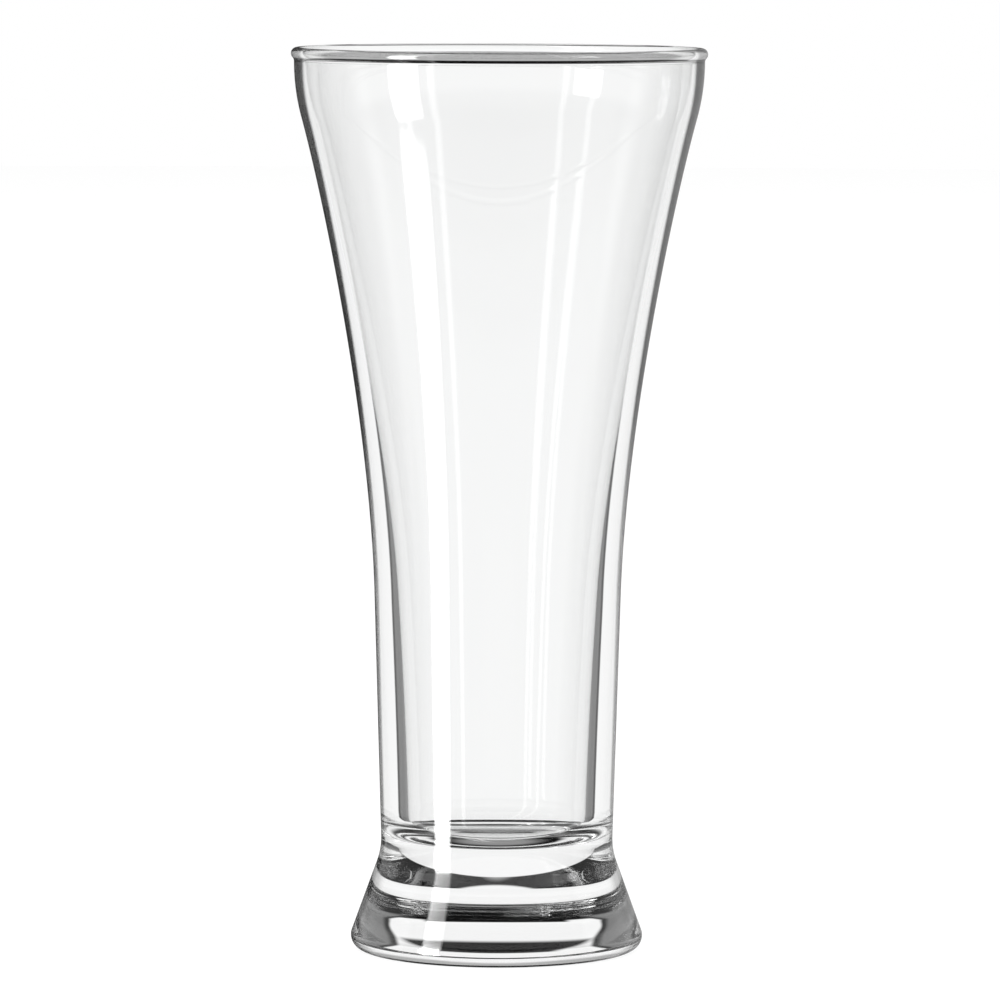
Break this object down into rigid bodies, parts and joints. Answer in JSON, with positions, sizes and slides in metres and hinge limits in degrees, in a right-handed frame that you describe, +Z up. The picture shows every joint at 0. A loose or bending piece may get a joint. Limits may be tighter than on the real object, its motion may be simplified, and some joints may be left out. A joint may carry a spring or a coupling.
{
  "type": "pilsner glass",
  "caption": "Clear flared pilsner glass: tall bowl that opens to a beaded rim, straight tapered lower wall, thick bottom and flared round foot.",
  "frame": {"origin": "centre of the seat ring, on the surface that the glass stands on", "axes": "+Z up along the axis that the glass is turned about; X and Y are alike"},
  "size_m": [0.082, 0.082, 0.1784],
  "materials": {
    "clear_glass": "polished"
  },
  "bodies": {
    "root": {"glass": "clear_glass"}
  },
  "joints": []
}
